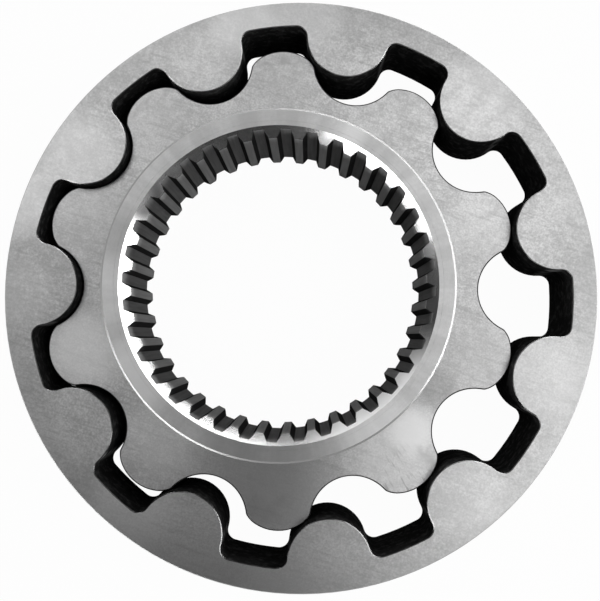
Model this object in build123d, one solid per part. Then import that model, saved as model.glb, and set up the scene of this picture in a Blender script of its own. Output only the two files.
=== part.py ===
from build123d import *
import os
from math import asin, atan2, cos, degrees, hypot, pi, radians, sin, sqrt, tan

# Rotor set of a crank-driven internal gear pump, in millimetres and degrees.
# Origin: axis of the outer rotor, in the plane that both rotors lie on. +Z points out of the front
# faces, and +X runs from the inner rotor's axis towards the outer rotor's axis.

# Mesh of the two rotors
INNER_LOBES = 10
ECCENTRICITY = 3.25    # distance between the two rotor axes
LOBE_STANDOUT = 3.75   # how far the outer lobes' centres lie outside the outer rolling circle
MESH_CLEARANCE = 0.14  # running clearance between the lobes of both rotors
FLANK_ROUND = 0.1      # tightest round left on the inner rotor's flanks, along its bevel
REST_ANGLE = -0.85     # how far the inner rotor stands past its tip-to-tip position

# Outer rotor
OUTER_THICKNESS = 12.0
RIM_WALL = 3.6             # steel between the pocket floors and the running rim
POCKET_CLEARANCE = 0.74    # room between an inner rotor's tip and the pocket floor
POCKET_CORNER_RADIUS = 1.6
OUTER_EDGE_BREAK = 0.12    # bevel on every edge of the outer rotor's two faces

# Inner rotor
FRONT_STEP = 2.3           # how far its front face lies behind the outer rotor's
INNER_EDGE_BREAK = 0.2     # bevel along the lobed outline, front and back
SPLINE_TEETH = 36
SPLINE_ANGLE = 6.1         # how far the first spline gap stands past the first lobe's tip
SPLINE_MINOR_RADIUS = 21.15
SPLINE_TOOTH_HEIGHT = 1.02
SPLINE_TIP_WIDTH = 1.11    # flat on top of one tooth
SPLINE_FLANK_ANGLE = 30.0  # slope of a tooth flank against the middle of its gap
SPLINE_BACK_BREAK = 0.4
SLEEVE_WALL = 1.05         # steel left outside the spline gaps
LEAD_IN_STEP = 0.42        # how far the lead-in cone opens past the gap floors
LEAD_IN_DEPTH = 1.8

# Hub collar
HUB_HEIGHT = 8.8
COLLAR_WALL = 1.85
COLLAR_EDGE_BREAK = 0.3
COLLAR_CLEARANCE = 0.03       # radial running clearance between collar and sleeve
COLLAR_FACE_CLEARANCE = 0.05  # axial running clearance between collar and rotor face

# Drawing of the inner rotor's curved outline
OUTLINE_ARCS = 12     # arcs from one tip to the next
CROWDING_RATIO = 0.9  # how far their ends draw together at the valley, where the curve is tight

# Places that follow from the sizes above
OUTER_LOBES = INNER_LOBES + 1
ROLLING_RADIUS = OUTER_LOBES * ECCENTRICITY
LOBE_CENTRE_RADIUS = ROLLING_RADIUS + LOBE_STANDOUT
# Seen from the inner rotor, an outer lobe's centre moves on a wavy way. Where that way bends most
# outwards, its round leaves just the flank's round, the bevel, the clearance and the lobe itself.
RUN_AT_BEND = sqrt(3 * INNER_LOBES * (LOBE_CENTRE_RADIUS**2 - ROLLING_RADIUS**2) / (OUTER_LOBES + 1))
WAY_ROUND = 3 * RUN_AT_BEND / (OUTER_LOBES + 1)
LOBE_RADIUS = WAY_ROUND - FLANK_ROUND - INNER_EDGE_BREAK - MESH_CLEARANCE
LOBE_REACH = LOBE_RADIUS + MESH_CLEARANCE
TIP_RADIUS = LOBE_CENTRE_RADIUS + ECCENTRICITY - LOBE_REACH
POCKET_FLOOR_RADIUS = TIP_RADIUS + ECCENTRICITY + POCKET_CLEARANCE
OUTER_RADIUS = POCKET_FLOOR_RADIUS + RIM_WALL
OUTER_PITCH = 360 / OUTER_LOBES
OUTER_REST_ANGLE = REST_ANGLE * INNER_LOBES / OUTER_LOBES
INNER_CENTRE = (-ECCENTRICITY, 0)
INNER_THICKNESS = OUTER_THICKNESS - FRONT_STEP
HUB_TOP = INNER_THICKNESS + HUB_HEIGHT
SPLINE_MAJOR_RADIUS = SPLINE_MINOR_RADIUS + SPLINE_TOOTH_HEIGHT
SLEEVE_RADIUS = SPLINE_MAJOR_RADIUS + SLEEVE_WALL
LEAD_IN_RADIUS = SPLINE_MAJOR_RADIUS + LEAD_IN_STEP
COLLAR_BORE_RADIUS = SLEEVE_RADIUS + COLLAR_CLEARANCE
COLLAR_RADIUS = COLLAR_BORE_RADIUS + COLLAR_WALL


def polar(radius, angle):
    return (radius * cos(radians(angle)), radius * sin(radians(angle)))


def standing(radius, height):
    """Round bar about the axis, from the back plane up."""
    return extrude(Circle(radius).face(), height)


def outer_bore_wire():
    """Inside outline of the outer rotor: round lobes between flat-floored pockets with round corners."""
    corner_centre_radius = POCKET_FLOOR_RADIUS - POCKET_CORNER_RADIUS
    reach = LOBE_RADIUS + POCKET_CORNER_RADIUS
    # The corner's centre lies where it touches both the floor and the lobe
    along = (corner_centre_radius**2 + LOBE_CENTRE_RADIUS**2 - reach**2) / (2 * LOBE_CENTRE_RADIUS)
    across = sqrt(corner_centre_radius**2 - along**2)
    corner_angle = degrees(atan2(across, along))
    share = LOBE_RADIUS / reach
    touch_along = LOBE_CENTRE_RADIUS + (along - LOBE_CENTRE_RADIUS) * share
    touch_across = across * share
    touch_radius = hypot(touch_along, touch_across)
    touch_angle = degrees(atan2(touch_across, touch_along))
    # Middle of the corner's arc, halfway between the direction of the lobe and that of the floor
    to_lobe = atan2(touch_across - across, touch_along - along)
    halfway = (to_lobe + radians(corner_angle)) / 2
    bend_along = along + POCKET_CORNER_RADIUS * cos(halfway)
    bend_across = across + POCKET_CORNER_RADIUS * sin(halfway)
    bend_radius = hypot(bend_along, bend_across)
    bend_angle = degrees(atan2(bend_across, bend_along))
    edges = []
    for lobe in range(OUTER_LOBES):
        middle = lobe * OUTER_PITCH
        following = middle + OUTER_PITCH
        edges.append(ThreePointArc(
            polar(touch_radius, middle - touch_angle),
            polar(LOBE_CENTRE_RADIUS - LOBE_RADIUS, middle),
            polar(touch_radius, middle + touch_angle)))
        edges.append(ThreePointArc(
            polar(touch_radius, middle + touch_angle),
            polar(bend_radius, middle + bend_angle),
            polar(POCKET_FLOOR_RADIUS, middle + corner_angle)))
        edges.append(ThreePointArc(
            polar(POCKET_FLOOR_RADIUS, middle + corner_angle),
            polar(POCKET_FLOOR_RADIUS, middle + OUTER_PITCH / 2),
            polar(POCKET_FLOOR_RADIUS, following - corner_angle)))
        edges.append(ThreePointArc(
            polar(POCKET_FLOOR_RADIUS, following - corner_angle),
            polar(bend_radius, following - bend_angle),
            polar(touch_radius, following - touch_angle)))
    return Wire(edges)


def mesh_point(along, inset):
    """Point of the inner outline at a share of the way from one tip to the next, set in by inset.

    It lies one lobe reach inside the way that an outer lobe's centre takes round the inner rotor.
    """
    share = 2 * pi * along
    slow = (share + CROWDING_RATIO * sin(share)) / INNER_LOBES
    fast = slow * OUTER_LOBES
    centre_x = LOBE_CENTRE_RADIUS * cos(slow) + ECCENTRICITY * cos(fast)
    centre_y = LOBE_CENTRE_RADIUS * sin(slow) + ECCENTRICITY * sin(fast)
    run_x = -LOBE_CENTRE_RADIUS * sin(slow) - OUTER_LOBES * ECCENTRICITY * sin(fast)
    run_y = LOBE_CENTRE_RADIUS * cos(slow) + OUTER_LOBES * ECCENTRICITY * cos(fast)
    inwards = (LOBE_REACH + inset) / hypot(run_x, run_y)
    return (centre_x - run_y * inwards, centre_y + run_x * inwards)


def inner_outline_wire(inset, height):
    """Outline that the outer lobes wrap round the inner rotor, set in by inset, at a height."""
    arcs = []
    for step in range(OUTLINE_ARCS):
        ends_and_middle = [mesh_point((step + part) / OUTLINE_ARCS, inset) for part in (0, 0.5, 1)]
        arcs.append(ThreePointArc(*ends_and_middle))
    edges = [arc.rotate(Axis.Z, 360 * lobe / INNER_LOBES) for lobe in range(INNER_LOBES) for arc in arcs]
    return Wire(edges).moved(Location((0, 0, height)))


def lobed_plate():
    """Flat plate inside the lobed outline, with a bevel along its back and its front."""
    levels = [
        (INNER_EDGE_BREAK, 0),
        (0, INNER_EDGE_BREAK),
        (0, INNER_THICKNESS - INNER_EDGE_BREAK),
        (INNER_EDGE_BREAK, INNER_THICKNESS),
    ]
    return Solid.make_loft([inner_outline_wire(inset, height) for inset, height in levels], ruled=True)


def at_inner_axis(shape):
    return shape.moved(Location((*INNER_CENTRE, 0), (0, 0, REST_ANGLE)))


def outer_rotor():
    """Ring with a plain running rim outside and eleven lobes with oil pockets inside."""
    bore = extrude(Face(outer_bore_wire()), OUTER_THICKNESS)
    ring = standing(OUTER_RADIUS, OUTER_THICKNESS) - bore
    levels = ring.edges().group_by(Axis.Z)
    ring = chamfer(levels[0] + levels[-1], OUTER_EDGE_BREAK)
    return ring.rotate(Axis.Z, OUTER_REST_ANGLE)


def spline_gap():
    """One gap of the spline about the X axis, from inside the tooth tips out to its floor."""
    half_pitch = 180 / SPLINE_TEETH
    half_mouth = half_pitch - degrees(asin(SPLINE_TIP_WIDTH / 2 / SPLINE_MINOR_RADIUS))
    mouth_x, mouth_y = polar(SPLINE_MINOR_RADIUS, half_mouth)
    root_y = mouth_y - SPLINE_TOOTH_HEIGHT * tan(radians(SPLINE_FLANK_ANGLE))
    root_x = sqrt(SPLINE_MAJOR_RADIUS**2 - root_y**2)
    inside_x = SPLINE_MINOR_RADIUS - SPLINE_TOOTH_HEIGHT
    corners = [
        (root_x, root_y),
        (mouth_x, mouth_y),
        (inside_x, mouth_y),
        (inside_x, -mouth_y),
        (mouth_x, -mouth_y),
        (root_x, -root_y),
    ]
    edges = [Line(start, end) for start, end in zip(corners, corners[1:])]
    edges.append(ThreePointArc((root_x, -root_y), (SPLINE_MAJOR_RADIUS, 0), (root_x, root_y)))
    return Face(Wire(edges))


def spline_gaps():
    """All gaps of the spline, from below the rotor to above the hub."""
    over = LEAD_IN_DEPTH
    gap = extrude(spline_gap(), HUB_TOP + 2 * over).moved(Location((0, 0, -over)))
    return [gap.rotate(Axis.Z, SPLINE_ANGLE + 360 * tooth / SPLINE_TEETH) for tooth in range(SPLINE_TEETH)]


def lead_in_cone():
    """Cone that opens the spline towards the front, so that the shaft's teeth find the gaps."""
    widen = (LEAD_IN_RADIUS - SPLINE_MINOR_RADIUS) / LEAD_IN_DEPTH
    over = LEAD_IN_DEPTH
    cone = Cone(SPLINE_MINOR_RADIUS, LEAD_IN_RADIUS + widen * over, LEAD_IN_DEPTH + over,
                align=(Align.CENTER, Align.CENTER, Align.MIN))
    return cone.moved(Location((0, 0, HUB_TOP - LEAD_IN_DEPTH)))


def back_break_cone():
    """Small bevel at the back end of the spline teeth."""
    return Cone(SPLINE_MINOR_RADIUS + SPLINE_BACK_BREAK, SPLINE_MINOR_RADIUS, SPLINE_BACK_BREAK,
                align=(Align.CENTER, Align.CENTER, Align.MIN))


def inner_rotor():
    """Ten-lobed disc with a splined bore that runs on through a sleeve standing out in front."""
    body = lobed_plate() + standing(SLEEVE_RADIUS, HUB_TOP) - standing(SPLINE_MINOR_RADIUS, HUB_TOP)
    body = body - lead_in_cone() - back_break_cone() - spline_gaps()
    return at_inner_axis(body)


def hub_collar():
    """Round shoulder that steadies the sleeve and stands on the inner rotor's front face."""
    foot = INNER_THICKNESS + COLLAR_FACE_CLEARANCE
    height = HUB_TOP - foot
    ring = standing(COLLAR_RADIUS, height) - standing(COLLAR_BORE_RADIUS, height)
    rim = ring.edges().filter_by(GeomType.CIRCLE).group_by(Axis.Z)[-1].sort_by(SortBy.RADIUS)[-1]
    ring = chamfer(rim, COLLAR_EDGE_BREAK)
    return at_inner_axis(ring.moved(Location((0, 0, foot))))


NODES = {
    "outer_rotor": outer_rotor,
    "inner_rotor": inner_rotor,
    "hub_collar": hub_collar,
}

os.makedirs("parts", exist_ok=True)
for name, build in NODES.items():
    export_step(build(), f"parts/{name}.step")
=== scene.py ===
import bpy
from math import cos, hypot, radians, sin
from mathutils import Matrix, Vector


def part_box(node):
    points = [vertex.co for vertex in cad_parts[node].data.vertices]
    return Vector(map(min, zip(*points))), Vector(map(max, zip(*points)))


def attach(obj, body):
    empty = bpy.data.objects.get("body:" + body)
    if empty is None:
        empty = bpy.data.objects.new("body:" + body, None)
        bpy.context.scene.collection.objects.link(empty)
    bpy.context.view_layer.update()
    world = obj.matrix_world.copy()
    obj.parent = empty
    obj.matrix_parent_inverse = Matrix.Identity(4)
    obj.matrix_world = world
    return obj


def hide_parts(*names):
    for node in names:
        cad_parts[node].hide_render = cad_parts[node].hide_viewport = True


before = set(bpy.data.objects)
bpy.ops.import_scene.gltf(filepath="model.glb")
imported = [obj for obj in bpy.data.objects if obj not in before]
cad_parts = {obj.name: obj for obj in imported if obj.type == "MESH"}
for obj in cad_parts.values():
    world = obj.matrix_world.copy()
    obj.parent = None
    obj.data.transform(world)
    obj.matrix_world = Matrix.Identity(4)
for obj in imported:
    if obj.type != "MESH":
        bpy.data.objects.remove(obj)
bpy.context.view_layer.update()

# Rotor set of an internal gear oil pump: an outer ring with round lobes, a ten-lobed inner rotor with
# a splined bore, and the collar round the sleeve of the bore. Metres, in the same frame as the solids.

MM = 0.001

# Places read from the solids
OUTER_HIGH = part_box("outer_rotor")[1]
COLLAR_LOW, COLLAR_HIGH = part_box("hub_collar")
OUTER_RADIUS = OUTER_HIGH.x
OUTER_FACE = OUTER_HIGH.z
COLLAR_RADIUS = (COLLAR_HIGH.x - COLLAR_LOW.x) / 2
INNER_AXIS = (COLLAR_HIGH.x + COLLAR_LOW.x) / 2
HUB_TOP = COLLAR_HIGH.z

# The inner rotor's front face lies 2.3 mm below the outer rotor's
INNER_FACE = 9.7 * MM

# Radii on the inner rotor, about its own axis
SLEEVE_RADIUS = 23.22 * MM
GAP_FLOOR_RADIUS = 22.17 * MM
TOOTH_TIP_RADIUS = 21.15 * MM

# Walls whose facets turn by less than this look round
ROUND_SHADING = radians(20)

# Painted highlight: a bright band across the turned hub, its angle in radians about its axis
HUB_HIGHLIGHT_ANGLE = 1.42

# Marks of the tools: turning rings on the hub, and the radius at which strokes are spaced
TURNING_RINGS = 7000.0
STROKE_RADIUS = 33 * MM

# Soft lighter and darker patches: painted sheen and shade, mixed with stains and rubbed areas: x, y and
# reach in millimetres, grey level, share
RING_TONES = (
    (-37.2, 9.5, 9, 0.9, 0.42),
    (31.9, -20.9, 9, 0.8, 0.3),
    (38, -0.5, 9, 0.85, 0.3),
    (-24.4, 28.8, 8, 0.85, 0.2),
    (-12.7, 39.8, 9, 0.9, 0.35),
    (16.6, 35.7, 9, 0.9, 0.3),
    (5.7, -42.3, 12, 0.4, 0.4),
    (-39.5, -12.6, 7, 0.95, 0.2),
    (-14, -36.8, 9, 0.95, 0.28),
    (-20.9, 36.2, 7, 0.95, 0.45),
    (-43, 0.5, 7, 0.95, 0.4))
ROTOR_TONES = (
    (-34, 2, 9, 0.45, 0.45),
    (5.3, -29.5, 10, 0.4, 0.5),
    (-13.5, 31.5, 8, 0.5, 0.3),
    (29.3, -1, 7, 0.55, 0.3),
    (-28.5, -18, 8, 0.97, 0.6),
    (21, -18.5, 10, 0.95, 0.4),
    (22.7, 18.3, 7, 0.9, 0.2),
    (-31, 19, 9, 0.5, 0.35),
    (-13.3, -26.5, 8, 0.97, 0.35),
    (6, 32, 8, 0.5, 0.2),
    (2.5, -27.5, 15, 0.3, 0.55),
    (23.3, -7.1, 4.5, 0.3, 0.5))
HUB_TONES = (
    (-26.4, -9, 8, 0.97, 0.4),
    (2.7, -23.6, 12, 0.33, 0.55),
    (-11.8, 22.7, 9, 0.45, 0.35),
    (-18.5, -18.5, 8, 1.0, 0.75),
    (15.5, -15, 7, 1.0, 0.45),
    (-27.4, 0, 5, 0.36, 0.5),
    (5.5, 22.5, 7, 0.4, 0.3))

# Camera of the photograph: it looks down on the rotors from close above, tilted a little
IMAGE_WIDTH = 600
CAMERA_TURN = radians(17.72)
CAMERA_TILT = radians(2.565)
CAMERA_PLACE = (2.91 * MM, -5.76 * MM, 131.3 * MM)
FOCAL_PIXELS = 804.8
SIDEWAYS_PIXELS = 7.9
SENSOR_WIDTH = 36


def deselect():
    bpy.ops.object.select_all(action="DESELECT")


# Shader nodes

# Sockets of a Mix node that carry colours
MIX_COLOUR_A = 6
MIX_COLOUR_B = 7
MIX_COLOUR_RESULT = 2


def add(tree, kind, **settings):
    """New shader node with its settings."""
    made = tree.nodes.new(kind)
    for name, value in settings.items():
        setattr(made, name, value)
    return made


def feed(tree, source, socket):
    """Links a socket to another, or writes a plain value into it."""
    if isinstance(source, bpy.types.NodeSocket):
        tree.links.new(source, socket)
    else:
        socket.default_value = source


def maths(tree, operation, first, second=0.0, third=0.0):
    made = add(tree, "ShaderNodeMath", operation=operation)
    for source, socket in zip((first, second, third), made.inputs):
        feed(tree, source, socket)
    return made.outputs[0]


def ramp(tree, value, low, high, to_low=0.0, to_high=1.0):
    """Smooth step of a value between two limits."""
    made = add(tree, "ShaderNodeMapRange", interpolation_type="SMOOTHSTEP")
    for source, name in zip((value, low, high, to_low, to_high),
                            ("Value", "From Min", "From Max", "To Min", "To Max")):
        feed(tree, source, made.inputs[name])
    return made.outputs["Result"]


def mix_colours(tree, share, first, second):
    made = add(tree, "ShaderNodeMix", data_type="RGBA")
    feed(tree, share, made.inputs["Factor"])
    feed(tree, first, made.inputs[MIX_COLOUR_A])
    feed(tree, second, made.inputs[MIX_COLOUR_B])
    return made.outputs[MIX_COLOUR_RESULT]


def mix_values(tree, share, first, second):
    made = add(tree, "ShaderNodeMix", data_type="FLOAT")
    feed(tree, share, made.inputs["Factor"])
    feed(tree, first, made.inputs["A"])
    feed(tree, second, made.inputs["B"])
    return made.outputs["Result"]


def grey(level):
    return (level, level, level, 1.0)


def turned_to(tree, point, turn=0.0, stretch=(1, 1, 1)):
    """Object coordinates turned about Z and stretched for a pattern."""
    made = add(tree, "ShaderNodeMapping")
    feed(tree, point, made.inputs["Vector"])
    made.inputs["Rotation"].default_value = (0, 0, turn)
    made.inputs["Scale"].default_value = stretch
    return made.outputs["Vector"]


def noise(tree, point, scale, detail=2.0, roughness=0.5):
    made = add(tree, "ShaderNodeTexNoise")
    feed(tree, point, made.inputs["Vector"])
    made.inputs["Scale"].default_value = scale
    made.inputs["Detail"].default_value = detail
    made.inputs["Roughness"].default_value = roughness
    return made.outputs["Fac"]


def fine_bump(tree, height):
    """Relief of a few thousandths of a millimetre."""
    made = add(tree, "ShaderNodeBump")
    feed(tree, height, made.inputs["Height"])
    made.inputs["Distance"].default_value = 0.004 * MM
    made.inputs["Strength"].default_value = 0.5
    return made.outputs["Normal"]


def plain_material(name):
    made = bpy.data.materials.new(name)
    made.use_nodes = True
    shader = made.node_tree.nodes["Principled BSDF"]
    return made, made.node_tree, shader


def surface_sense(tree):
    """Object coordinates, and how far the surface faces up or down, from 0 on a wall to 1."""
    place = add(tree, "ShaderNodeTexCoord")
    split = add(tree, "ShaderNodeSeparateXYZ")
    feed(tree, place.outputs["Normal"], split.inputs[0])
    return place.outputs["Object"], maths(tree, "ABSOLUTE", split.outputs["Z"])


def axis_distance(tree, point, axis_x):
    """Distance from a rotor axis, and the height."""
    split = add(tree, "ShaderNodeSeparateXYZ")
    feed(tree, point, split.inputs[0])
    across = maths(tree, "SUBTRACT", split.outputs["X"], axis_x)
    along_squared = maths(tree, "MULTIPLY", split.outputs["Y"], split.outputs["Y"])
    square = maths(tree, "MULTIPLY_ADD", across, across, along_squared)
    return maths(tree, "SQRT", square), split.outputs["Z"]


def axis_angle(tree, point):
    """Angle about the inner rotor's axis."""
    split = add(tree, "ShaderNodeSeparateXYZ")
    feed(tree, point, split.inputs[0])
    across = maths(tree, "SUBTRACT", split.outputs["X"], INNER_AXIS)
    return maths(tree, "ARCTAN2", split.outputs["Y"], across)


def fine_scratches(tree, point):
    """Short faint scratches in several directions, as loose grit leaves them on a ground face."""
    marks = 0.0
    for turn, scale in ((0.35, 1500), (1.2, 2100), (2.3, 1800)):
        run = turned_to(tree, point, turn=turn, stretch=(0.1, 1, 0.1))
        line = ramp(tree, noise(tree, run, scale, detail=3.0), 0.57, 0.72)
        marks = maths(tree, "MAXIMUM", line, marks)
    return marks


def mottling(tree, point):
    """Soft clouds of lighter and darker steel, from broad patches down to a fine mesh."""
    broad = noise(tree, point, 110, detail=3.0)
    close = noise(tree, point, 520, detail=4.0, roughness=0.65)
    fine = noise(tree, point, 1900, detail=3.0, roughness=0.7)
    together = maths(tree, "MULTIPLY_ADD", close, 0.3, maths(tree, "MULTIPLY", broad, 0.3))
    return maths(tree, "MULTIPLY_ADD", fine, 0.4, together)


def ground_face(tree, point, light, dark):
    """Colour, roughness and fine relief of a ground flat face."""
    clouds = ramp(tree, mottling(tree, point), 0.39, 0.61)
    marks = fine_scratches(tree, point)
    grain = noise(tree, point, 3600, detail=2.0)
    colour = mix_colours(tree, clouds, grey(dark), grey(light))
    colour = mix_colours(tree, maths(tree, "MULTIPLY", marks, 0.35), colour, grey(dark * 0.65))
    colour = mix_colours(tree, ramp(tree, grain, 0.35, 0.65, 0.3, 0.0), colour, grey(dark * 0.5))
    roughness = mix_values(tree, clouds, 0.34, 0.28)
    relief = maths(tree, "MULTIPLY_ADD", marks, -0.6, grain)
    return colour, roughness, relief


def spot(tree, point, x, y, height, reach):
    """Soft round patch about a place, 1 at its middle; x, y and reach in millimetres."""
    made = add(tree, "ShaderNodeVectorMath", operation="DISTANCE")
    feed(tree, point, made.inputs[0])
    made.inputs[1].default_value = (x * MM, y * MM, height)
    return ramp(tree, made.outputs["Value"], reach * MM * 0.3, reach * MM, 1.0, 0.0)


def band(tree, radius, rise, full, fall, end):
    """Soft-edged ring between four radii in millimetres."""
    inner_edge = ramp(tree, radius, rise * MM, full * MM)
    return maths(tree, "MULTIPLY", inner_edge, ramp(tree, radius, fall * MM, end * MM, 1.0, 0.0))


def sheen_shade_and_stains(tree, point, colour, height, tones):
    """Large soft areas a little lighter or darker than the rest: painted sheen and painted shade, mixed with
    stains from old oil and handling.
    """
    for x, y, reach, tone, share in tones:
        patch = maths(tree, "MULTIPLY", spot(tree, point, x, y, height, reach), share)
        colour = mix_colours(tree, patch, colour, grey(tone))
    return colour


def radial_strokes(tree, point, radius):
    """Thin dark strokes that run outwards from the inner rotor's axis."""
    angle = axis_angle(tree, point)
    laid = add(tree, "ShaderNodeCombineXYZ")
    feed(tree, maths(tree, "MULTIPLY", angle, STROKE_RADIUS), laid.inputs["X"])
    feed(tree, maths(tree, "MULTIPLY", radius, 0.15), laid.inputs["Y"])
    return ramp(tree, noise(tree, laid.outputs[0], 1500, detail=2.0), 0.54, 0.62)


def handling_marks_and_shade(tree, point, radius, colour):
    """Marks of handling on the front of the inner rotor: strokes, smudges and faint dark arcs near the lobe
    heads, with painted sheen and shade: a lighter patch, broad tones and a darker ring round the hub's foot.
    """
    patchy = ramp(tree, noise(tree, point, 420, detail=3.0), 0.4, 0.6)
    # Painted sheen: a lighter patch on the lower-right lobe
    sheen_cloud = spot(tree, point, 22.1, -14.4, INNER_FACE, 5.0)
    colour = mix_colours(tree, maths(tree, "MULTIPLY", sheen_cloud, 0.8), colour, grey(0.97))
    stroked = spot(tree, point, 23.2, -21.7, INNER_FACE, 6.0)
    strokes = maths(tree, "MULTIPLY", radial_strokes(tree, point, radius), stroked)
    colour = mix_colours(tree, strokes, colour, grey(0.25))
    smudges = maths(tree, "MAXIMUM", spot(tree, point, 25.2, -16.6, INNER_FACE, 2.0),
                    spot(tree, point, 26.1, -18.4, INNER_FACE, 1.6))
    smudges = maths(tree, "MULTIPLY", smudges, patchy)
    colour = mix_colours(tree, smudges, colour, grey(0.4))
    # Painted sheen and shade, mixed with stains, on the rotor's face
    colour = sheen_shade_and_stains(tree, point, colour, INNER_FACE, ROTOR_TONES)
    # Faint dark arcs near the heads of two lobes
    arc = band(tree, radius, 33.9, 34.6, 35.0, 36.0)
    lobes = maths(tree, "MAXIMUM", spot(tree, point, -14.0, 33.3, INNER_FACE, 6.0),
                  spot(tree, point, -31.1, 21.3, INNER_FACE, 6.0))
    arcs = maths(tree, "MULTIPLY", maths(tree, "MULTIPLY", arc, lobes), patchy)
    colour = mix_colours(tree, maths(tree, "MULTIPLY", arcs, 0.7), colour, grey(0.4))
    # Painted shade: the face darkens in a ring round the foot of the hub
    hub_foot_shade = ramp(tree, radius, COLLAR_RADIUS, COLLAR_RADIUS + 1.8 * MM, 0.4, 0.0)
    return mix_colours(tree, hub_foot_shade, colour, grey(0.3))


def broken_edge(tree, facing):
    """Share of the small bevels between the flat faces and the walls."""
    return ramp(tree, facing, 0.82, 0.95, 1.0, 0.0)


def turned_face(tree, point, radius):
    """Colour and relief of steel turned on a lathe: fine uneven rings, a painted sheen that varies with
    angle, and a painted highlight.
    """
    rings = add(tree, "ShaderNodeTexNoise", noise_dimensions="1D")
    feed(tree, maths(tree, "MULTIPLY", radius, TURNING_RINGS), rings.inputs["W"])
    rings.inputs["Scale"].default_value = 1.0
    rings.inputs["Detail"].default_value = 2.0
    # Painted sheen: lighter and darker sectors about the axis
    sheen = add(tree, "ShaderNodeTexNoise", noise_dimensions="1D")
    angle = axis_angle(tree, point)
    feed(tree, angle, sheen.inputs["W"])
    sheen.inputs["Scale"].default_value = 7.0
    sheen.inputs["Detail"].default_value = 4.0
    # Painted highlight: a bright band across the hub at one angle
    off_streak = maths(tree, "ABSOLUTE", maths(tree, "SUBTRACT", angle, HUB_HIGHLIGHT_ANGLE))
    streak = ramp(tree, off_streak, 0.02, 0.13, 0.6, 0.0)
    clouds = ramp(tree, mottling(tree, point), 0.3, 0.7)
    colour = mix_colours(tree, clouds, grey(0.6), grey(0.78))
    colour = mix_colours(tree, ramp(tree, sheen.outputs["Fac"], 0.35, 0.65, 0.5, 0.0), colour, grey(0.5))
    colour = mix_colours(tree, streak, colour, grey(0.98))
    colour = mix_colours(tree, maths(tree, "MULTIPLY", rings.outputs["Fac"], 0.25), colour, grey(0.48))
    # Painted sheen and shade, mixed with stains, on the turned hub
    colour = sheen_shade_and_stains(tree, point, colour, HUB_TOP, HUB_TONES)
    return colour, rings.outputs["Fac"]


def sintered_and_shaded_wall(tree, point):
    """Colour of the walls: nearly black, partly the dark skin of sintered, steam-blued steel and partly
    painted shade in the deep cavities, with grey rubbed spots.
    """
    spots = ramp(tree, noise(tree, point, 900, detail=4.0, roughness=0.65), 0.45, 0.75)
    pores = noise(tree, point, 4200, detail=3.0)
    colour = mix_colours(tree, spots, grey(0.016), grey(0.055))
    return colour, pores


def ring_steel():
    """Ground faces and rim, bright broken edges, and black lobe walls and oil pockets, their black partly
    painted shade.
    """
    made, tree, shader = plain_material("ring_steel")
    point, facing = surface_sense(tree)
    radius, _ = axis_distance(tree, point, 0.0)
    on_edge = ramp(tree, facing, 0.3, 0.5)
    on_rim = ramp(tree, radius, OUTER_RADIUS - 1.2 * MM, OUTER_RADIUS - 0.8 * MM)
    face_colour, face_roughness, face_relief = ground_face(tree, point, light=0.71, dark=0.49)
    rim = ramp(tree, radius, 38 * MM, 44 * MM, 0.0, 0.4)
    face_colour = mix_colours(tree, rim, face_colour, grey(0.4))
    # Painted sheen and shade, mixed with stains, on the ring's ground face
    face_colour = sheen_shade_and_stains(tree, point, face_colour, OUTER_FACE, RING_TONES)
    edge_colour = mix_colours(tree, on_rim, grey(0.12), grey(0.35))
    face_colour = mix_colours(tree, broken_edge(tree, facing), face_colour, edge_colour)
    # Nearly black walls: partly painted shade in the deep cavities
    wall_colour, wall_pores = sintered_and_shaded_wall(tree, point)
    rubbed = band(tree, radius, 36.8, 37.8, 38.6, 39.6)
    patchy = ramp(tree, noise(tree, point, 500, detail=3.0), 0.35, 0.6)
    wall_colour = mix_colours(tree, maths(tree, "MULTIPLY", rubbed, patchy), wall_colour, grey(0.16))
    bare = maths(tree, "MAXIMUM", on_edge, on_rim)
    feed(tree, mix_colours(tree, bare, wall_colour, face_colour), shader.inputs["Base Color"])
    feed(tree, mix_values(tree, bare, 0.6, face_roughness), shader.inputs["Roughness"])
    feed(tree, bare, shader.inputs["Metallic"])
    shader.inputs["Specular IOR Level"].default_value = 0.0
    relief = mix_values(tree, bare, wall_pores, face_relief)
    feed(tree, fine_bump(tree, relief), shader.inputs["Normal"])
    return made


def broached_spline(tree, point, radius):
    """Colour of the spline: grey tooth tips, darker gap floors and nearly black flanks, the dark of floors
    and flanks partly painted shade in the gaps.
    """
    tips = ramp(tree, radius, TOOTH_TIP_RADIUS + 0.02 * MM, TOOTH_TIP_RADIUS + 0.12 * MM, 1.0, 0.0)
    floors = ramp(tree, radius, GAP_FLOOR_RADIUS - 0.1 * MM, GAP_FLOOR_RADIUS - 0.03 * MM)
    run = turned_to(tree, point, stretch=(1, 1, 0.04))
    drag = noise(tree, run, 3000, detail=3.0)
    tip_colour = mix_colours(tree, drag, grey(0.23), grey(0.42))
    floor_colour = mix_colours(tree, drag, grey(0.13), grey(0.25))
    # Painted shade in part: nearly black flanks and darker gap floors
    colour = mix_colours(tree, floors, grey(0.035), floor_colour)
    return mix_colours(tree, tips, colour, tip_colour)


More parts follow.
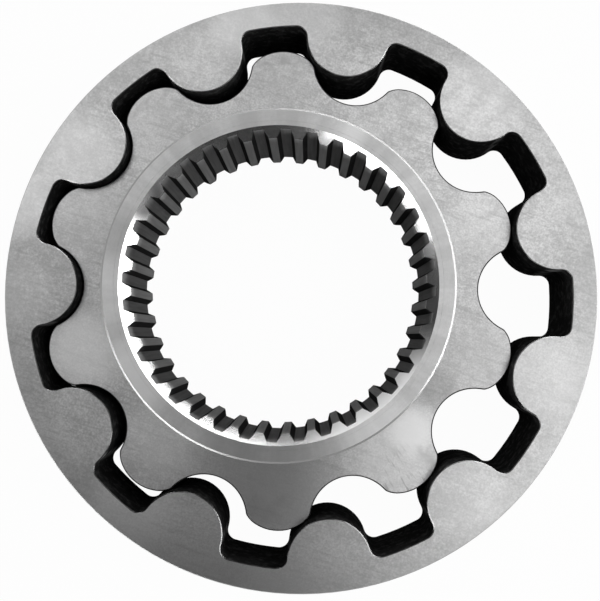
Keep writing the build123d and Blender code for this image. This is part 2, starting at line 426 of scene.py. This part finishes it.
def rotor_steel():
    """Ground faces, black lobe walls, grey broached spline, turned sleeve end, and a lead-in cone; the black
    of the walls and spline gaps partly painted shade, and patches of painted reflection on the cone.
    """
    made, tree, shader = plain_material("rotor_steel")
    point, facing = surface_sense(tree)
    radius, height = axis_distance(tree, point, INNER_AXIS)
    on_edge = ramp(tree, facing, 0.3, 0.5)
    in_bore = ramp(tree, radius, SLEEVE_RADIUS - 0.5 * MM, SLEEVE_RADIUS - 0.3 * MM, 1.0, 0.0)
    within = ramp(tree, radius, SLEEVE_RADIUS + 0.1 * MM, SLEEVE_RADIUS + 0.2 * MM, 1.0, 0.0)
    on_sleeve = maths(tree, "MULTIPLY", within, ramp(tree, height, HUB_TOP - 2.5 * MM, HUB_TOP - 2.2 * MM))
    face_colour, face_roughness, face_relief = ground_face(tree, point, light=0.79, dark=0.57)
    face_colour = handling_marks_and_shade(tree, point, radius, face_colour)
    outside = ramp(tree, radius, SLEEVE_RADIUS, SLEEVE_RADIUS + 0.2 * MM)
    bevels = maths(tree, "MULTIPLY", broken_edge(tree, facing), outside)
    face_colour = mix_colours(tree, bevels, face_colour, grey(0.5))
    cone = maths(tree, "SUBTRACT", broken_edge(tree, facing), bevels)
    turned_colour, rings = turned_face(tree, point, radius)
    # Nearly black walls: partly painted shade in the deep cavities
    wall_colour, wall_pores = sintered_and_shaded_wall(tree, point)
    dark_colour = mix_colours(tree, in_bore, wall_colour, broached_spline(tree, point, radius))
    bare_colour = mix_colours(tree, on_sleeve, face_colour, turned_colour)
    # Painted reflection: the cone is painted black on the hub's left, where it would mirror dark
    # surroundings
    painted_dark_reflection = spot(tree, point, -24.5, 5.8, HUB_TOP, 6.5)
    cone_colour = mix_colours(tree, painted_dark_reflection, grey(0.42), grey(0.03))
    # Painted highlight: a pale matt patch on the cone at lower right stands in for its reflection of the
    # lamps
    painted_cone_glint = maths(tree, "MULTIPLY", cone, spot(tree, point, 15.9, -11.9, HUB_TOP, 15))
    bare_colour = mix_colours(tree, cone, bare_colour, cone_colour)
    bare_colour = mix_colours(tree, painted_cone_glint, bare_colour, grey(0.95))
    feed(tree, mix_colours(tree, on_edge, dark_colour, bare_colour), shader.inputs["Base Color"])
    bare_roughness = mix_values(tree, cone, mix_values(tree, on_sleeve, face_roughness, 0.3), 0.24)
    feed(tree, mix_values(tree, on_edge, 0.6, bare_roughness), shader.inputs["Roughness"])
    feed(tree, maths(tree, "SUBTRACT", on_edge, painted_cone_glint), shader.inputs["Metallic"])
    shader.inputs["Specular IOR Level"].default_value = 0.0
    relief = mix_values(tree, on_edge, wall_pores, mix_values(tree, on_sleeve, face_relief, rings))
    feed(tree, fine_bump(tree, relief), shader.inputs["Normal"])
    return made


def collar_steel():
    """Bright steel with fine turning rings about the inner rotor's axis."""
    made, tree, shader = plain_material("collar_steel")
    point, facing = surface_sense(tree)
    radius, _ = axis_distance(tree, point, INNER_AXIS)
    colour, rings = turned_face(tree, point, radius)
    chamfer = broken_edge(tree, facing)
    feed(tree, mix_colours(tree, chamfer, colour, grey(0.36)), shader.inputs["Base Color"])
    feed(tree, mix_values(tree, chamfer, 0.3, 0.32), shader.inputs["Roughness"])
    shader.inputs["Metallic"].default_value = 1.0
    feed(tree, fine_bump(tree, rings), shader.inputs["Normal"])
    return made


# Pieces

def draw_bore_in(piece, gap):
    """Narrows the collar's bore, so that it meets the sleeve without a visible seam."""
    for vertex in piece.data.vertices:
        radius = hypot(vertex.co.x - INNER_AXIS, vertex.co.y)
        if radius < SLEEVE_RADIUS + 0.2 * MM:
            share = (radius - gap) / radius
            vertex.co.x = INNER_AXIS + (vertex.co.x - INNER_AXIS) * share
            vertex.co.y = vertex.co.y * share


def smooth_piece(node, body, material, tighten=0.0):
    """Copy of a solid, its triangles joined, its round walls shaded smooth and its bore drawn in."""
    deselect()
    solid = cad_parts[node]
    solid.select_set(True)
    bpy.context.view_layer.objects.active = solid
    bpy.ops.object.duplicate()
    piece = bpy.context.active_object
    piece.name = node + "_steel"
    bpy.ops.object.mode_set(mode="EDIT")
    bpy.ops.mesh.select_all(action="SELECT")
    bpy.ops.mesh.remove_doubles(threshold=0.002 * MM)
    bpy.ops.object.mode_set(mode="OBJECT")
    bpy.ops.mesh.customdata_custom_splitnormals_clear()
    bpy.ops.object.shade_smooth_by_angle(angle=ROUND_SHADING)
    if tighten:
        draw_bore_in(piece, tighten)
    piece.data.materials.clear()
    piece.data.materials.append(material)
    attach(piece, body)
    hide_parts(node)


# Studio

# Soft lamps that the ground faces mirror: name, azimuth and elevation in degrees, size, power
OVERHEAD_LAMPS = (
    ("overhead_right", 5, 66, 0.5, 0.55),
    ("overhead_left", 180, 68, 0.3, 0.12),
    ("right_front", 315, 52, 0.3, 0.5),
    ("right", 0, 50, 0.3, 0.24),
    ("back", 65, 56, 0.4, 0.28),
    ("left_back", 133, 55, 0.3, 0.34))
OVERHEAD_DISTANCE = 0.6

# Long low lamps that light the hub's chamfer and the cone: name, azimuth, length, power
LOW_LAMPS = (
    ("low_right", -7, 0.54, 2.5),
    ("low_back", 55, 0.66, 2.9),
    ("low_far", 107, 0.32, 0.5),
    ("low_left", 220, 0.5, 2.2))
LOW_ELEVATION = 5
LOW_DISTANCE = 0.5
LOW_HEIGHT = 0.06

# Faint grey light from all round, and the share of real shadow on the white ground
FILL_LIGHT = 0.06
SHADOW_SHARE = 0.03
GROUND_SIZE = 3.0
GROUND_DROP = 0.02 * MM


def studio_floor():
    """White ground just below the rotors, which keeps a trace of their shadow."""
    deselect()
    bpy.ops.mesh.primitive_plane_add(size=GROUND_SIZE, location=(0, 0, -GROUND_DROP))
    floor = bpy.context.active_object
    floor.name = "floor"
    made = bpy.data.materials.new("floor_white")
    made.use_nodes = True
    tree = made.node_tree
    tree.nodes.clear()
    rays = add(tree, "ShaderNodeLightPath")
    seen = maths(tree, "MAXIMUM", rays.outputs["Is Camera Ray"],
                 maths(tree, "MAXIMUM", rays.outputs["Is Glossy Ray"], rays.outputs["Is Transmission Ray"]))
    white = add(tree, "ShaderNodeEmission")
    white.inputs["Strength"].default_value = 1.0
    matt = add(tree, "ShaderNodeBsdfDiffuse")
    matt.inputs["Color"].default_value = grey(0.8)
    shaded = add(tree, "ShaderNodeMixShader")
    shaded.inputs["Fac"].default_value = SHADOW_SHARE
    blend = add(tree, "ShaderNodeMixShader")
    finish = add(tree, "ShaderNodeOutputMaterial")
    tree.links.new(white.outputs[0], shaded.inputs[1])
    tree.links.new(matt.outputs[0], shaded.inputs[2])
    tree.links.new(seen, blend.inputs["Fac"])
    tree.links.new(matt.outputs[0], blend.inputs[1])
    tree.links.new(shaded.outputs[0], blend.inputs[2])
    tree.links.new(blend.outputs[0], finish.inputs["Surface"])
    floor.data.materials.append(made)


def softbox(name, azimuth, elevation, distance, length, height, power):
    """Soft light aimed at the part; its azimuth starts at the right-hand side of the picture."""
    deselect()
    turn = radians(azimuth) + CAMERA_TURN
    flat = distance * cos(radians(elevation))
    place = (flat * cos(turn), flat * sin(turn), distance * sin(radians(elevation)))
    bpy.ops.object.light_add(type="AREA", location=place, rotation=(0, radians(90 - elevation), turn))
    lamp = bpy.context.active_object
    lamp.name = name
    lamp.data.shape = "RECTANGLE"
    lamp.data.size = height
    lamp.data.size_y = length
    lamp.data.energy = power


def studio_world():
    world = bpy.data.worlds.new("studio")
    bpy.context.scene.world = world
    world.use_nodes = True
    back = world.node_tree.nodes["Background"]
    back.inputs["Color"].default_value = grey(1.0)
    back.inputs["Strength"].default_value = FILL_LIGHT


def photo_camera():
    deselect()
    bpy.ops.object.camera_add(location=CAMERA_PLACE, rotation=(CAMERA_TILT, 0, CAMERA_TURN))
    camera = bpy.context.active_object
    camera.name = "photo_camera"
    camera.data.sensor_fit = "HORIZONTAL"
    camera.data.sensor_width = SENSOR_WIDTH
    camera.data.lens = FOCAL_PIXELS / IMAGE_WIDTH * SENSOR_WIDTH
    camera.data.shift_x = -SIDEWAYS_PIXELS / IMAGE_WIDTH
    camera.data.clip_start = 0.01
    bpy.context.scene.camera = camera


smooth_piece("outer_rotor", "outer", ring_steel())
smooth_piece("inner_rotor", "inner", rotor_steel())
smooth_piece("hub_collar", "hub", collar_steel(), tighten=0.02 * MM)

studio_floor()
studio_world()
for name, azimuth, elevation, size, power in OVERHEAD_LAMPS:
    softbox(name, azimuth, elevation, OVERHEAD_DISTANCE, size, size, power)
for name, azimuth, length, power in LOW_LAMPS:
    softbox(name, azimuth, LOW_ELEVATION, LOW_DISTANCE, length, LOW_HEIGHT, power)
photo_camera()
bpy.context.scene.view_settings.view_transform = "Standard"
